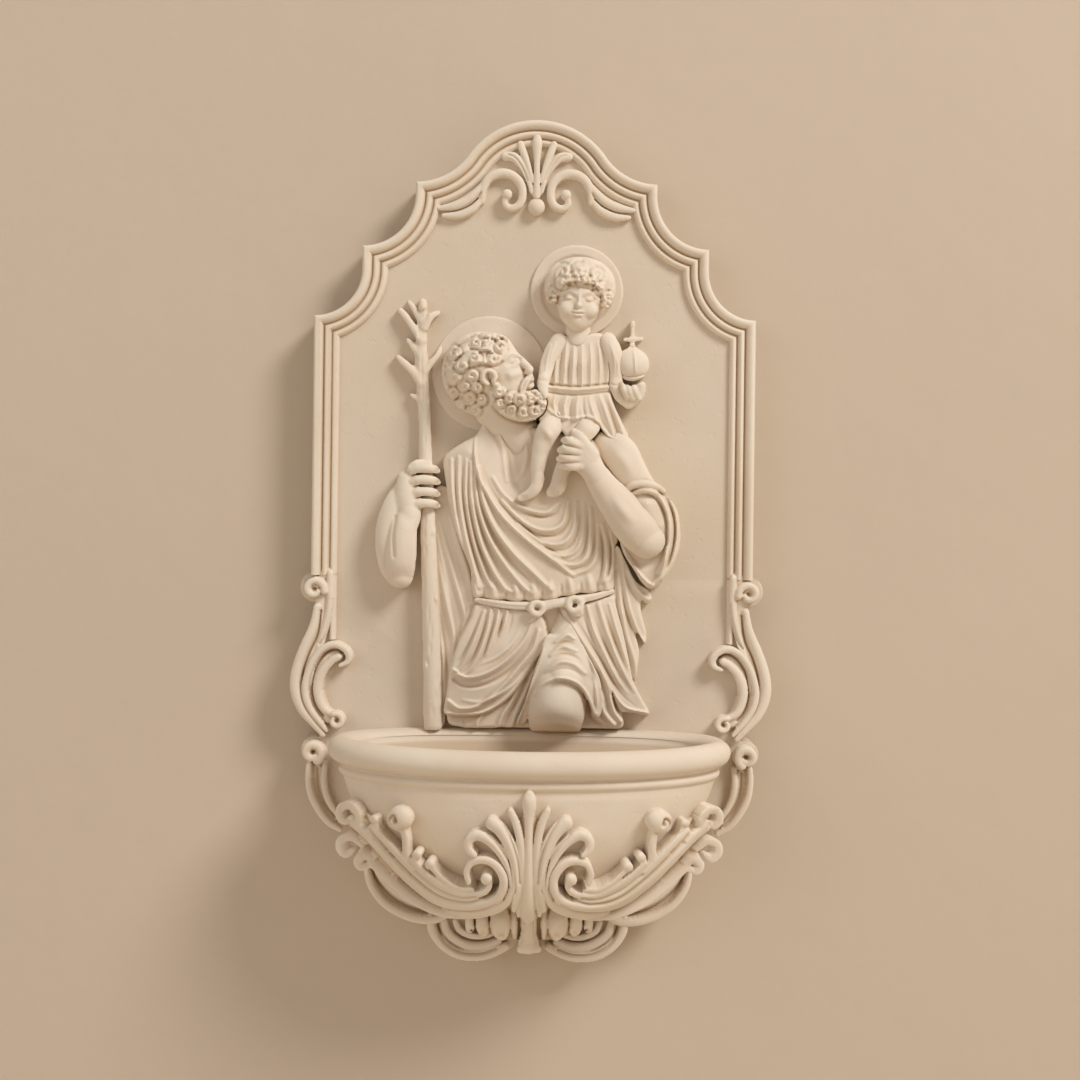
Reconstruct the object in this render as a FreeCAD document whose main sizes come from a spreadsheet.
"""A wall-hung holy water stoup in cast stone: an arched plaque with a relief, and an oval basin below it.

Frame: millimetres, +X to the viewer's right, +Z up. The wall is the plane y = 0 and the front faces -Y.
The origin lies on the wall face of the plaque, at half its height. A depth is measured forward of the
plaque's front. Every cast ornament and figure is flat behind and lies on the plaque or on the basin.
"""

import FreeCAD, Part

import math
import os
import re

Vector = FreeCAD.Vector
SIDES = (("left", -1), ("right", 1))

doc = FreeCAD.newDocument("holy_water_stoup")
sheet = doc.addObject("Spreadsheet::Sheet", "sizes")

# ---------------------------------------------------------------- driving dimensions

SIZES = {
    # plaque slab and its stepped, arched head
    "plaque_thickness": 10.0,
    "frame_half_width": 73.3,
    "arch_top": 139.7,
    "arch_radius": 28.0,
    "flare_radius": 21.0,
    "flare_angle": 55.0,
    "upper_riser": 4.0,
    "upper_scotia": 17.4,
    "lower_riser": 7.5,
    "lower_scotia": 15.8,
    "side_foot": -12.0,
    # border moulding: three beads, each lower than the one outside it
    "outer_bead_width": 3.3,
    "outer_bead_height": 3.8,
    "middle_bead_width": 2.9,
    "middle_bead_height": 2.9,
    "inner_bead_width": 2.4,
    "inner_bead_height": 2.0,
    # side lobes and apron of the slab: a disc at either side of each level
    "waist_half_width": 69.5,
    "waist_foot": -34.0,
    "side_lobe_radius": 19.6,
    "side_lobe_x": 60.4,
    "side_lobe_z": -47.5,
    "shoulder_lobe_radius": 22.8,
    "shoulder_lobe_x": 49.6,
    "shoulder_lobe_z": -75.5,
    "hip_lobe_radius": 22.5,
    "hip_lobe_x": 33.5,
    "hip_lobe_z": -103.0,
    "drop_lobe_radius": 16.3,
    "drop_lobe_x": 15.4,
    "drop_lobe_z": -123.2,
    "apron_foot": -134.0,
    "rim_ear_radius": 4.6,
    "rim_ear_x": 71.8,
    "rim_ear_z": -70.6,
    "scroll_ear_radius": 5.2,
    "scroll_ear_x": 72.0,
    "scroll_ear_z": -16.2,
    # basin: an oval cup with a rolled rim and a flat back that seats on the plaque
    "rim_height": -63.1,
    "rim_roll": 4.0,
    "basin_half_width": 59.2,
    "basin_half_depth": 27.3,
    "basin_centre": 28.0,
    "basin_drop": 46.0,
    "basin_wall": 5.0,
    "back_half_width": 46.0,
    "back_drop": 40.0,
    "neck_bead": 1.3,
    "neck_gap": 6.2,
    # halos, staff and orb of the figures
    "halo_thickness": 1.0,
    "saint_halo_radius": 19.4,
    "child_halo_radius": 15.8,
    "staff_top_radius": 2.2,
    "staff_foot_radius": 3.3,
    "orb_radius": 6.0,
    # fixings
    "dowel_diameter": 5.0,
    "dowel_length": 14.0,
    "dowel_spacing": 40.0,
    "dowel_drop": 12.0,
    "hanging_hole_diameter": 8.0,
    "hanging_hole_depth": 7.0,
    "hanging_hole_z": 88.0,
}

for row, (alias, value) in enumerate(SIZES.items(), start=1):
    sheet.set(f"A{row}", alias)
    sheet.set(f"B{row}", str(value))
    sheet.setAlias(f"B{row}", alias)
doc.recompute()


def size(alias):
    """A driving dimension, as the sheet holds it."""
    return float(getattr(sheet, alias))


def cell(formula):
    """Writes a formula of aliases as the document's expressions want it."""
    return re.sub("[a-z_]+", lambda word: f"sizes.{word[0]}" if word[0] in SIZES else word[0], formula)


def solid(kind, name, x="0", y="0", z="0", **formulas):
    """A Part primitive with its place and its sizes bound to the sheet."""
    thing = doc.addObject(f"Part::{kind}", name)
    for axis, formula in zip("xyz", (x, y, z)):
        thing.setExpression(f"Placement.Base.{axis}", cell(formula))
    for name_of_size, formula in formulas.items():
        thing.setExpression(name_of_size, cell(formula))
    return thing


def turned(thing, axis, angle):
    """Turns a primitive about an axis through its own origin, and keeps its bound place."""
    thing.Placement = FreeCAD.Placement(thing.Placement.Base, FreeCAD.Rotation(axis, angle))
    return thing


def fuse(name, things, merge_faces=False):
    """The union of several objects."""
    joined = doc.addObject("Part::MultiFuse", name)
    joined.Shapes = things
    joined.Refine = merge_faces
    return joined


def cut(name, base, tool, merge_faces=False):
    """An object less another one."""
    rest = doc.addObject("Part::Cut", name)
    rest.Base = base
    rest.Tool = tool
    rest.Refine = merge_faces
    return rest


def piece(name, thing):
    """Names a finished object as a piece of the stoup."""
    thing.Label = name
    PIECES.append(thing)
    return thing


PIECES = []

# ---------------------------------------------------------------- stepped head, as the plaque and its border share it

# Each hollow of the outline has its centre where the step inside it starts to rise.
SECOND_X = "(frame_half_width - lower_scotia)"
THIRD_X = "(frame_half_width - lower_scotia - upper_scotia)"
ARCH_Z = "(arch_top - arch_radius)"
SPREAD = "(arch_radius + flare_radius)"
THIRD_Z = f"({ARCH_Z} + {SPREAD} * cos(flare_angle * 1 deg))"
SECOND_Z = f"({THIRD_Z} - flare_radius - upper_riser)"
FIRST_Z = f"({SECOND_Z} - upper_scotia - lower_riser)"


def plate(name, half_width, foot, top, back, front):
    """A box, symmetric about x = 0, between two heights and two depths from the wall."""
    return solid("Box", name, x=f"0 - ({half_width})", y=f"0 - ({front})", z=foot,
                 Length=f"2 * ({half_width})", Width=f"({front}) - ({back})", Height=f"({top}) - ({foot})")


def disc(name, x, z, radius, back, front):
    """A cylinder that stands forward from the wall."""
    drum = solid("Cylinder", name, x=x, y=f"0 - ({back})", z=z, Radius=radius, Height=f"({front}) - ({back})")
    return turned(drum, Vector(1, 0, 0), 90)


def head_region(name, inset, back, front):
    """The stepped head of the plaque inside its outline, the given distance in, between two depths."""
    steps = fuse(f"{name}_steps", [
        plate(f"{name}_low", f"frame_half_width - {inset}", "side_foot", FIRST_Z, back, front),
        plate(f"{name}_mid", f"{SECOND_X} - {inset}", "side_foot", SECOND_Z, back, front),
        plate(f"{name}_high", f"{THIRD_X} - {inset}", "side_foot",
              f"{THIRD_Z} - (flare_radius + {inset}) * cos(flare_angle * 1 deg)", back, front),
    ], merge_faces=True)
    hollows = []
    for side, sign in SIDES:
        for corner, x, z, radius in (
            ("low", "frame_half_width", FIRST_Z, "lower_scotia"),
            ("mid", SECOND_X, SECOND_Z, "upper_scotia"),
            ("high", THIRD_X, THIRD_Z, "flare_radius"),
        ):
            hollows.append(disc(f"{name}_{corner}_{side}", f"{sign} * {x}", z, f"{radius} + {inset}", back, front))
    scooped = cut(f"{name}_scooped", steps, fuse(f"{name}_hollows", hollows))
    arch = disc(f"{name}_arch", "0", ARCH_Z, f"arch_radius - {inset}", back, front)
    return fuse(name, [scooped, arch], merge_faces=True)


def rounded_front(name, base, front, radius):
    """Rounds every edge of an object's front face, which lies at the given depth from the wall."""
    doc.recompute()
    rounded = doc.addObject("Part::Fillet", name)
    rounded.Base = base
    edges = []
    for number, edge in enumerate(base.Shape.Edges, start=1):
        middle = edge.valueAt((edge.FirstParameter + edge.LastParameter) / 2)
        if all(abs(point.y + front) < 1e-6 for point in [middle] + [end.Point for end in edge.Vertexes]):
            edges.append((number, radius, radius))
    rounded.Edges = edges
    return rounded


# ---------------------------------------------------------------- plaque

T = "plaque_thickness"
LOBES = ("side_lobe", "shoulder_lobe", "hip_lobe", "drop_lobe")


def build_plaque():
    """The cast slab: stepped head, waist, four lobes and a rim ear at each side, and pockets behind."""
    parts = [
        head_region("slab_head", "0", "0", T),
        plate("slab_waist", "waist_half_width", "waist_foot", "side_foot", "0", T),
        plate("slab_tail", "drop_lobe_x", "apron_foot", "drop_lobe_z", "0", T),
    ]
    above = "waist_foot"
    for lobe in LOBES:
        parts.append(plate(f"slab_{lobe}_web", f"{lobe}_x", f"{lobe}_z", above, "0", T))
        above = f"{lobe}_z"
    for lobe in LOBES + ("rim_ear", "scroll_ear"):
        for side, sign in SIDES:
            parts.append(disc(f"slab_{lobe}_{side}", f"{sign} * {lobe}_x", f"{lobe}_z", f"{lobe}_radius", "0", T))
    pockets = [disc("hanging_hole", "0", "hanging_hole_z", "hanging_hole_diameter / 2", "0", "hanging_hole_depth")]
    for side, sign in SIDES:
        pockets.append(disc(f"dowel_hole_{side}", f"{sign} * dowel_spacing / 2", "rim_height - dowel_drop",
                            "dowel_diameter / 2", f"{T} - dowel_length / 2", f"{T} + 1"))
    return piece("plaque", cut("plaque_body", fuse("slab", parts, merge_faces=True), fuse("slab_pockets", pockets)))


def build_border():
    """Three beads round the head, each lower than the one outside it and rounded on its outer edge."""
    beads = []
    inset = "0"
    for name in ("outer_bead", "middle_bead", "inner_bead"):
        block = head_region(name, inset, T, f"{T} + {name}_height")
        rounding = min(size(f"{name}_width"), size(f"{name}_height")) * 0.3
        rounded = rounded_front(f"{name}_rounded", block, size(T) + size(f"{name}_height"), rounding)
        inset = f"({inset} + {name}_width)"
        inside = head_region(f"{name}_inside", inset, f"{T} - 1", f"{T} + {name}_height + 1")
        beads.append(cut(f"{name}_band", rounded, inside))
    return piece("frame_moulding", fuse("border", beads, merge_faces=True))


# ---------------------------------------------------------------- basin

CENTRE_Y = f"0 - {T} - basin_centre"


def oval(name, width, depth, drop):
    """An ellipsoid round the middle of the basin's rim."""
    whole = solid("Ellipsoid", name, x="0", y=CENTRE_Y, z="rim_height", Radius2=width, Radius3=depth, Radius1=drop)
    whole.Angle1 = -90
    whole.Angle2 = 90
    return whole


def oval_ring(name, width, depth, z, radius):
    """A round bead bent along an oval at one height."""
    path = doc.addObject("Part::Ellipse", f"{name}_path")
    section = doc.addObject("Part::Circle", f"{name}_section")
    for thing in (path, section):
        thing.setExpression("Placement.Base.y", cell(CENTRE_Y))
        thing.setExpression("Placement.Base.z", cell(z))
    path.setExpression("MajorRadius", cell(width))
    path.setExpression("MinorRadius", cell(depth))
    section.setExpression("Radius", cell(radius))
    section.setExpression("Placement.Base.x", cell(width))
    turned(section, Vector(1, 0, 0), 90)
    doc.recompute()
    ring = doc.addObject("Part::Sweep", name)
    ring.Sections = [section]
    ring.Spine = (path, ["Edge1"])
    ring.Solid = True
    return ring


def build_basin():
    """An oval cup with a rolled rim, a bead under it, and a solid back that seats on the plaque."""
    room = "2 * basin_half_width"
    top = "rim_height + basin_drop + back_drop"
    above = plate("above_rim", room, "rim_height", top, f"0 - {room}", room)
    behind = plate("behind_plaque_front", room, "rim_height - 2 * basin_drop", top, f"0 - {room}", T)
    shell = cut("bowl_outside", oval("bowl_oval", "basin_half_width", "basin_half_depth", "basin_drop"), above)
    seat = solid("Ellipsoid", "bowl_back", x="0", y=f"0 - {T}", z="rim_height", Radius1="back_drop",
                 Radius2="back_half_width", Radius3="basin_centre + basin_half_depth / 2")
    seat.Angle1 = -90
    seat.Angle2 = 90
    seat = cut("bowl_seat", cut("bowl_half_back", seat, above), behind)
    hollow = oval("bowl_hollow", "basin_half_width - basin_wall", "basin_half_depth - basin_wall",
                  "basin_drop - basin_wall")
    cup = cut("bowl_cup", fuse("bowl_solid", [shell, seat]), hollow)
    neck = "sqrt(1 - (neck_gap / basin_drop)^2)"
    for name, width, depth, z, radius in (
        ("rim", "basin_half_width", "basin_half_depth", "rim_height", "rim_roll"),
        ("neck", f"basin_half_width * {neck}", f"basin_half_depth * {neck}", "rim_height - neck_gap", "neck_bead"),
    ):
        ring = cut(f"{name}_front", oval_ring(f"{name}_ring", width, depth, z, radius), behind)
        cup = fuse(f"bowl_with_{name}", [cup, ring])
    dowels = [disc(f"basin_hole_{side}", f"{sign} * dowel_spacing / 2", "rim_height - dowel_drop",
                   "dowel_diameter / 2", f"{T} - 1", f"{T} + dowel_length / 2") for side, sign in SIDES]
    return piece("basin", cut("basin_body", cup, fuse("basin_holes", dowels)))


def build_dowels():
    """Two steel dowels, half in the plaque and half in the basin's back."""
    pins = [disc(f"dowel_{side}", f"{sign} * dowel_spacing / 2", "rim_height - dowel_drop", "dowel_diameter / 2",
                 f"{T} - dowel_length / 2", f"{T} + dowel_length / 2") for side, sign in SIDES]
    both = doc.addObject("Part::Compound", "dowel_pair")
    both.Links = pins
    return piece("basin_dowels", both)


# ---------------------------------------------------------------- reliefs: lofts that lie on the plaque

def front(x, z, depth=0.0):
    """A point the given depth forward of the plaque's front."""
    return Vector(x, -size(T) - depth, z)


def along(points, count):
    """Points, directions and places in the list, evenly along a smooth curve through the given points."""
    curve = Part.BSplineCurve()
    curve.interpolate([Vector(*point) for point in points])
    knots = [curve.parameter(Vector(*point)) for point in points]
    stations = []
    for index in range(count):
        place = knots[0] + (knots[-1] - knots[0]) * index / (count - 1)
        after = next(k for k in range(1, len(knots)) if place <= knots[k] + 1e-9)
        share = (place - knots[after - 1]) / (knots[after] - knots[after - 1])
        stations.append((curve.value(place), curve.tangent(place)[0], after - 1 + share))
    return stations


def between(values, place):
    """A value from a list, where the place may lie between two entries."""
    if not isinstance(values, (list, tuple)):
        return values
    low = min(int(place), len(values) - 2)
    return values[low] + (values[low + 1] - values[low]) * (place - low)


RIDGES = {
    1: [(1, 0), (1, 0.72), (0.5, 1.12), (0, 1.12), (-0.5, 1.12), (-1, 0.72), (-1, 0)],
    2: [(1, 0), (1, 1.0), (0.5, 1.3), (0, 0.4), (-0.5, 1.3), (-1, 1.0), (-1, 0)],
}


def relief(points, widths, heights, ridges=1, count=None):
    """A tapering band with a rounded front, one or two ridges wide, along a curve in the plaque's plane."""
    sections = []
    for centre, direction, place in along([(x, 0, z) for x, z in points], count or 2 * len(points)):
        across = Vector(direction.z, 0, -direction.x).normalize()
        half = between(widths, place) / 2
        height = between(heights, place)
        poles = [front(centre.x, centre.z, height * up) + across * (half * aside) for aside, up in RIDGES[ridges]]
        crown = Part.BSplineCurve()
        crown.buildFromPoles(poles, False, 3)
        sections.append(Part.Wire([crown.toShape(), Part.makeLine(poles[-1], poles[0])]))
    return Part.makeLoft(sections, True, False)


def arc(centre, radius, start, stop, count):
    """Points of an arc, by angles in degrees from +X towards +Z; a pair of radii makes it a spiral."""
    first, last = radius if isinstance(radius, tuple) else (radius, radius)
    points = []
    for index in range(count):
        share = index / (count - 1)
        reach = first + (last - first) * share
        angle = math.radians(start + (stop - start) * share)
        points.append((centre[0] + reach * math.cos(angle), centre[1] + reach * math.sin(angle)))
    return points


def mirrored(points, sign):
    """A list of points as drawn for the right-hand side, or its mirror image."""
    return [(sign * x, z) for x, z in points]


def boulder(x, z, depth, half_width, half_height, half_depth):
    """An ellipsoid round a point in front of the plaque."""
    ball = Part.makeSphere(1)
    matrix = FreeCAD.Matrix()
    matrix.scale(half_width, half_depth, half_height)
    ball = ball.transformGeometry(matrix)
    ball.translate(front(x, z, depth))
    return ball


def in_front(shape):
    """What lies forward of the plaque's front."""
    box = shape.BoundBox
    slab = Part.makeBox(2 * box.DiagonalLength, 2 * box.DiagonalLength, 2 * box.DiagonalLength,
                        Vector(box.Center.x - box.DiagonalLength, -size(T), box.Center.z - box.DiagonalLength))
    return shape.cut(slab)


def applied(name, shapes, behind=()):
    """A casting made of one or more forms, hollowed behind to lie on the pieces that it overlaps."""
    under = [node.Shape for node in behind]
    seated = []
    for shape in shapes:
        if shape.BoundBox.YMax > 1e-3 - size(T):
            shape = in_front(shape)
        near = [other for other in under if other.BoundBox.intersect(shape.BoundBox)]
        seated.append(shape.cut(near) if near else shape)
    whole = seated[0].fuse(seated[1:]) if seated[1:] else seated[0]
    largest = max(part.Volume for part in whole.Solids)
    kept = [part for part in whole.Solids if part.Volume > 0.02 * largest]
    thing = doc.addObject("Part::Feature", name)
    thing.Shape = kept[0] if len(kept) == 1 else Part.makeCompound(kept)
    return piece(name, thing)


# ---------------------------------------------------------------- bowl ornaments: lofts that lie on the basin

def on_bowl(across, down, rise=0.0):
    """A point of the bowl's outside, by its distance from the middle and below the rim, as shares of the bowl."""
    reach = math.sqrt(max(0.0, 1 - across ** 2 - down ** 2))
    return Vector(across * size("basin_half_width"),
                  -size(T) - size("basin_centre") - reach * size("basin_half_depth") - rise,
                  size("rim_height") - down * size("basin_drop"))


def cord(points, radii, count=None):
    """A round tapering tube along a curve through points in space."""
    sections = []
    for centre, direction, place in along(points, count or 2 * len(points)):
        sections.append(Part.Wire([Part.Circle(centre, direction, between(radii, place)).toShape()]))
    return Part.makeLoft(sections, True, False)


def rib(points, radii, sign=1):
    """A tapering rib along the bowl's outside, half sunk in it."""
    return cord([on_bowl(sign * across, down) for across, down in points], radii)


# ---------------------------------------------------------------- ornaments of the plaque

def lobe_centre(lobe):
    """The centre of a lobe of the apron, on the right."""
    return size(f"{lobe}_x"), size(f"{lobe}_z")


def lobe_edge(lobe, start, stop, count, inside=2.8):
    """Points along a lobe, a little inside its edge."""
    return arc(lobe_centre(lobe), size(f"{lobe}_radius") - inside, start, stop, count)


def build_crest(border):
    """A palmette in the arch between two scrolls, over a bead."""
    base = size("arch_top") - 29.0
    hub = (0.0, base)
    leaves = []
    for angle, reach in ((0, 23.5), (18, 23), (36, 22), (54, 21)):
        for sign in (1, -1) if angle else (1,):
            tip = (sign * reach * math.sin(math.radians(angle)), base + reach * math.cos(math.radians(angle)))
            middle = (0.55 * tip[0], base + 0.62 * (tip[1] - base))
            leaves.append(relief([(0.12 * tip[0], base + 3), middle, tip], [1.6, 3.6, 2.2], [1.6, 3.4, 2.0]))
    applied("crest_palmette", leaves, [border])
    palmette = PIECES[-1]
    bead = applied("crest_bead", [boulder(hub[0], hub[1], 1.6, 3.0, 3.0, 2.6)], [palmette])
    for side, sign in SIDES:
        curl = arc((9.6, base + 3.4), (8.6, 1.6), -10, 350, 9)
        tail = [(31.0, base - 2.2), (24.0, base - 0.6)]
        applied(f"crest_scroll_{side}", [relief(mirrored(tail + curl, sign), [1.2, 2.6] + [3.8] * 6 + [3.2, 2.6, 2.0],
                                                [1.0, 2.0] + [3.2] * 6 + [3.0, 2.6, 2.2])],
                [border, palmette, bead])


def build_scrolls():
    """The scrolls of the slab's sides and apron, each along the edge of its lobe."""
    for side, sign in SIDES:
        ear = (size("scroll_ear_x"), size("scroll_ear_z") - 1.0)
        outer = [(71.5, -64.5), (75.3, -59), (76.9, -52.5), (76.4, -45.5), (74.6, -39), (72, -32), (69.2, -25)]
        outer += arc(ear, (4.3, 2.2), 190, -120, 6)
        s_curve = applied(f"side_scroll_{side}", [relief(
            mirrored(outer, sign), [2.5, 5, 6.6, 7.4, 7.4, 6.4, 5, 4.2, 4.2, 4, 3.4, 2.8, 2.2],
            [2, 3, 3.6, 4, 4, 3.6, 3.2, 3, 3, 3, 3, 3, 2.4], 2, 30)])
        inner = arc((64.6, -39.8), (1.8, 4.0), 300, 75, 5)
        inner += [(69.4, -39.5), (70.4, -46), (69.8, -52.5), (67, -58)] + arc((64.2, -60.6), (3, 1.5), 10, -200, 4)
        applied(f"inner_scroll_{side}", [relief(
            mirrored(inner, sign), [2, 2.6, 3.2, 3.6, 3.8, 4, 4, 3.6, 3, 2.6, 2.4, 2.2, 1.8],
            [2.4, 2.6, 2.8, 3, 3, 3, 3, 2.8, 2.6, 2.4, 2.4, 2.2, 2.0], 1, 28)], [s_curve])
        ear = (size("rim_ear_x") - 1.2, size("rim_ear_z"))
        run = arc(ear, (1.8, 3.6), -90, 180, 5) + lobe_edge("shoulder_lobe", -12, -68, 5)
        rim = applied(f"rim_scroll_{side}", [relief(
            mirrored(run, sign), [2, 2.8, 3.6, 4.2, 4.6, 5, 5, 4.8, 4.2, 2.6],
            [2.4, 2.8, 3.2, 3.4, 3.4, 3.4, 3.2, 3, 2.6, 1.8])], [s_curve])
        run = lobe_edge("hip_lobe", 8, -100, 6) + arc((27.5, -117.5), (4.6, 1.9), -90, -270, 4)
        hip = applied(f"lower_scroll_{side}", [relief(
            mirrored(run, sign), [2.4, 4.4, 5, 5, 5, 4.6, 3.6, 3, 2.6, 2], [1.8, 3, 3.4, 3.4, 3.2, 3, 2.6, 2.4, 2.2, 2])],
            [rim])
        run = lobe_edge("drop_lobe", -12, -130, 6) + arc((9.5, -130.1), (4.4, 1.9), -150, -320, 4)
        applied(f"drop_scroll_{side}", [relief(
            mirrored(run, sign), [2.4, 4.2, 4.8, 4.8, 4.6, 4, 3.2, 2.8, 2.4, 2],
            [1.8, 2.8, 3.2, 3.2, 3, 2.8, 2.6, 2.4, 2.2, 2])], [hip])


def build_bowl_ornaments(bowl):
    """A palmette on the bowl's front, an acanthus leaf at either side, and a gadrooned corbel under it."""
    lobes = [rib([(0, 0.86), (0, 0.55), (0, 0.27)], [1.6, 1.9, 2.7])]
    for sign in (1, -1):
        for tip, bend in (((0.085, 0.33), (0.05, 0.6)), ((0.175, 0.39), (0.09, 0.62)), ((0.26, 0.50), (0.13, 0.64))):
            lobes.append(rib([(0.015, 0.84), bend, tip], [1.0, 1.5, 2.2], sign))
        turns = [(0.24 + reach * math.cos(angle), 0.80 - 1.25 * reach * math.sin(angle)) for reach, angle in (
            (0.11, 3.3), (0.105, 2.3), (0.1, 1.4), (0.085, 0.5), (0.07, -0.5), (0.05, -1.6))]
        lobes.append(rib([(0.05, 0.9)] + turns, [1.0, 1.5, 1.8, 1.9, 1.9, 1.7, 1.3], sign))
    applied("bowl_palmette", lobes, bowl)
    for side, sign in SIDES:
        leaf = [
            rib([(0.38, 0.89), (0.45, 0.85), (0.52, 0.78), (0.57, 0.68)], [1.5, 2.6, 2.6, 1.6], sign),
            rib([(0.25, 0.955), (0.38, 0.91), (0.52, 0.84), (0.68, 0.70), (0.80, 0.54)], [1.4, 2.2, 2.6, 2.8, 1.5], sign),
            rib([(0.52, 0.78), (0.63, 0.6), (0.68, 0.47)], [1.4, 1.5, 2.7], sign),
            rib([(0.72, 0.64), (0.84, 0.47), (0.89, 0.36)], [1.6, 2.2, 1.8], sign),
        ]
        applied(f"acanthus_{side}", leaf, bowl)
    bottom = size("rim_height") - size("back_drop")
    lobes = [boulder(0, bottom - 2, 0, 24, 18, 22)]
    for x, drop, half in ((0, 30.5, 4.9), (9.6, 27.5, 4.8), (-9.6, 27.5, 4.8), (17.6, 22.5, 4.2), (-17.6, 22.5, 4.2)):
        lobes.append(cord([front(x * 0.9, bottom - 6, 8), front(x, bottom - drop * 0.6, 9), front(x, bottom - drop, 3)],
                          [half * 0.9, half, half * 0.6]))
    return applied("corbel", lobes, bowl)


# ---------------------------------------------------------------- figures

def build_halos():
    """Two flat discs on the plaque, one behind each head."""
    halos = []
    for name, x, z in (("saint_halo", "0 - 14.7", "55.3"), ("child_halo", "13.8", "83.3")):
        halos.append(piece(name, disc(f"{name}_disc", x, z, f"{name}_radius", T, f"{T} + halo_thickness")))
    return halos


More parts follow.
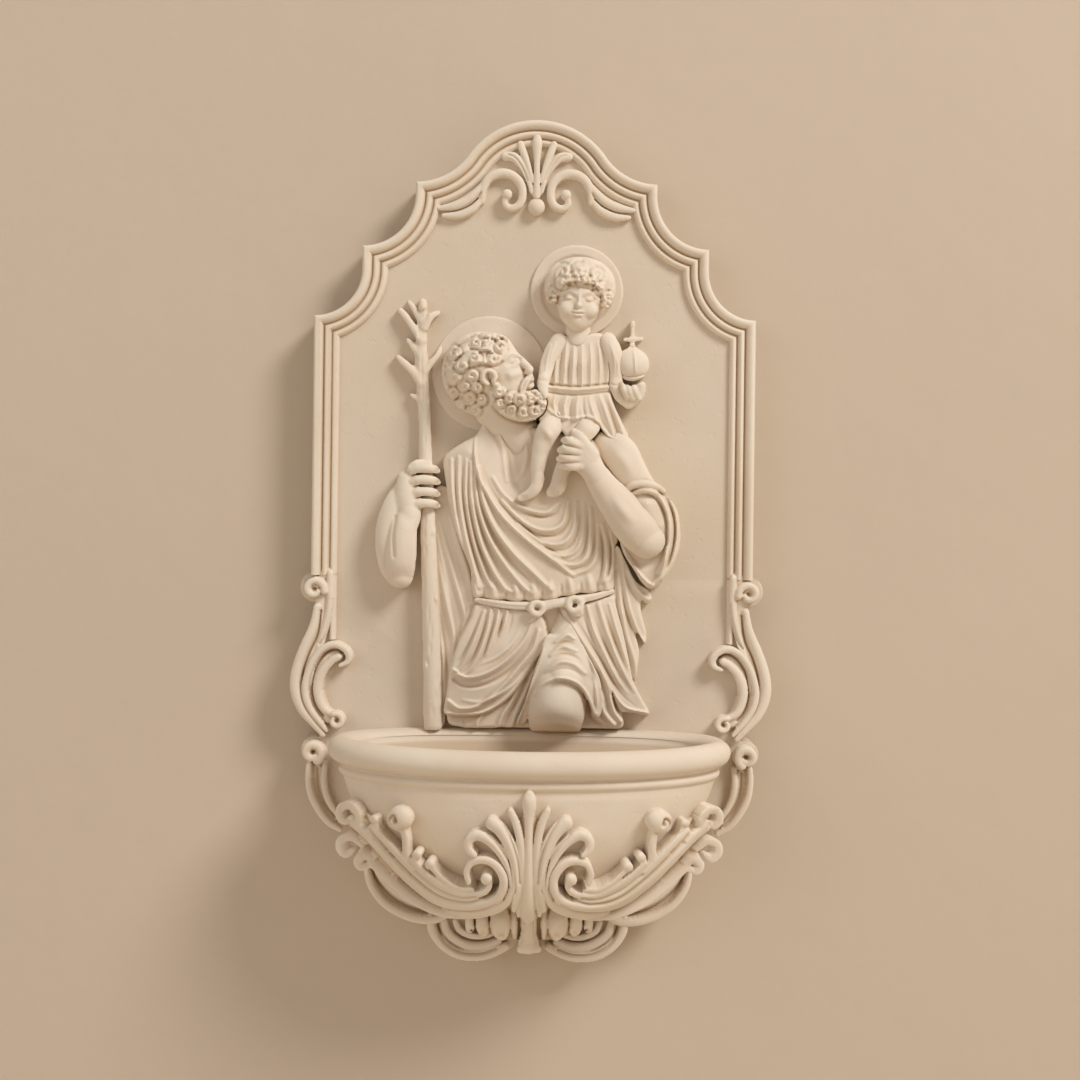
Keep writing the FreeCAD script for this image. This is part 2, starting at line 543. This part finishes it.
def build_figures(bowl, halos):
    """The saint with staff and child, each part laid on the plaque and on the parts behind it."""
    saint_halo, child_halo = halos
    torso = applied("saint_robe", [relief([(-2, 36), (-1, 26), (-1, 5), (1, -10), (2.8, -19)],
                                          [38, 52, 50, 44, 42], [5, 8, 10, 10, 10])], [saint_halo])
    skirt = applied("saint_tunic", [relief([(2.8, -18.5), (3.5, -30), (5, -42), (7, -57.5)],
                                           [42, 50, 60, 66], [9, 11, 12, 10])], bowl + [torso])
    applied("saint_belt", [relief([(-18.6, -17.2), (-8, -18.4), (2.8, -19), (14, -18.4), (24.6, -17.2)],
                                  [3, 3, 3.4, 3, 3], [6, 11.4, 12.4, 11.4, 6])], [torso, skirt])
    knee = applied("saint_knee", [relief([(5, -32), (7.5, -42), (8.8, -52), (8.6, -60)], [15, 19, 21, 17],
                                         [14, 18, 21, 14])], bowl + [skirt])
    head = applied("saint_head", [
        boulder(-15.3, 55.8, 8, 13.4, 13.8, 11.5),
        boulder(-6.5, 47.5, 8, 10, 8.5, 8.5),
        relief([(-16, 47), (-13, 38), (-9, 31)], [17, 13, 9], [12, 11, 10]),
    ], [saint_halo, torso])
    child = applied("child_robe", [relief([(15, 73), (15.5, 64), (15.7, 51.5), (16.6, 42)], [10, 23, 22, 29],
                                          [8, 11, 11, 12])], [child_halo, torso, head])
    applied("child_head", [boulder(15.2, 81.5, 6, 11.2, 11.8, 10)], [child_halo, child])
    legs = applied("child_legs", [
        relief([(10.3, 44), (4.8, 36), (4.6, 25), (2.5, 17.5), (-5, 14.5)], [9, 9.5, 6, 5, 3.4], [13, 16, 14.5, 14, 13]),
        relief([(21, 43), (18.4, 36.6), (14.6, 27), (8.9, 17.5)], [9, 9, 6, 4], [14, 17, 15.5, 14]),
    ], [torso, head, child])
    orb = solid("Sphere", "orb_ball", x="32.3", y=f"0 - {T} - orb_radius * 0.7", z="58", Radius="orb_radius")
    shaft = plate("orb_shaft", "0.8", "58 + orb_radius * 0.9", "58 + orb_radius + 9", T, f"{T} + 2")
    bar = plate("orb_bar", "2.6", "58 + orb_radius + 4.4", "58 + orb_radius + 6", T, f"{T} + 2")
    for thing in (shaft, bar):
        thing.setExpression("Placement.Base.x", cell("32.3 - ") + ("0.8" if thing is shaft else "2.6"))
    behind = plate("behind_orb", "60", "0", "120", "0", T)
    orb = piece("orb", cut("orb_flat", fuse("orb_and_cross", [orb, shaft, bar]), behind))
    doc.recompute()
    applied("child_arm_right", [relief([(24.5, 66.5), (28, 57.5), (28.6, 50), (34, 49.5)], [7, 6.4, 5, 4],
                                       [12, 12, 10, 8])], [child, orb])
    applied("child_arm_left", [relief([(7.5, 65), (3.6, 57), (0.4, 50)], [6.6, 5.6, 4.4], [11, 11, 10])],
            [child, head, torso, saint_halo])
    sleeve = applied("saint_sleeve_left", [relief([(20, 31), (31, 25), (40, 12), (43, -3), (38, -14)],
                                                  [12, 16, 18, 17, 11], [10, 13, 16, 16, 12])], [torso, child, legs])
    applied("saint_arm_left", [relief([(40.5, -3), (30.5, 9.5), (22, 20.5), (16, 27), (9.5, 31)],
                                      [14, 12, 11, 12, 7], [19, 20, 19.5, 19, 17])], [torso, sleeve, child, legs])
    cloak = applied("cloak_left", [relief([(-27, 28), (-29.5, 8), (-28, -12), (-27, -32), (-24, -58)],
                                          [8, 12, 15, 14, 13], [6, 7.5, 8, 7.5, 7])], bowl + [torso, skirt])
    applied("cloak_right", [relief([(34, -10), (37, -25), (38.5, -40), (38, -57)], [13, 13, 12, 9], [9, 9, 8, 6.5])],
            bowl + [skirt, sleeve])
    shaft = cord([front(-36.8, 81, 1), front(-36, 30, 1.5), front(-34.6, -10, 1.5), front(-32.8, -59, 1.5)],
                 [size("staff_top_radius"), 2.5, 2.9, size("staff_foot_radius")])
    twigs = [relief(path, [2.6, 2.0], [2.4, 1.6]) for path in (
        [(-36.5, 70), (-41.5, 77)], [(-36.5, 52), (-43, 60)], [(-36.5, 74), (-33, 78)], [(-36.3, 60), (-31.8, 64)])]
    staff = applied("staff", [shaft] + twigs, bowl + [saint_halo, head, cloak, torso, skirt])
    applied("saint_arm_right", [
        relief([(-37, -14), (-45.5, -9), (-46.5, 2), (-41.5, 10), (-38, 18.5), (-37, 24)], [9, 13, 13, 10.5, 12, 9],
               [8, 12, 12, 9.5, 9, 7.5]),
    ] + [boulder(-36.2, 24.6 - 4.0 * finger, 5.2, 5.4, 2.1, 3.4) for finger in range(4)], [torso, cloak, staff])


# ---------------------------------------------------------------- build, check and write

basin = build_basin()
plaque = build_plaque()
border = build_border()
build_dowels()
halos = build_halos()
doc.recompute()
build_crest(border)
build_scrolls()
bowl = [doc.getObject(name) for name in ("bowl_outside", "bowl_seat", "rim_front", "neck_front")]
build_bowl_ornaments(bowl)
build_figures(bowl, halos)
doc.recompute()

for thing in doc.Objects:
    if "Invalid" in thing.State or "Error" in thing.State:
        raise RuntimeError(f"{thing.Name} failed to build")
for thing in PIECES:
    if thing.Shape.isNull() or not thing.Shape.isValid():
        raise RuntimeError(f"{thing.Label} isn't a valid shape")

os.makedirs("parts", exist_ok=True)
for thing in PIECES:
    thing.Shape.exportStep(os.path.join("parts", f"{thing.Label}.step"))
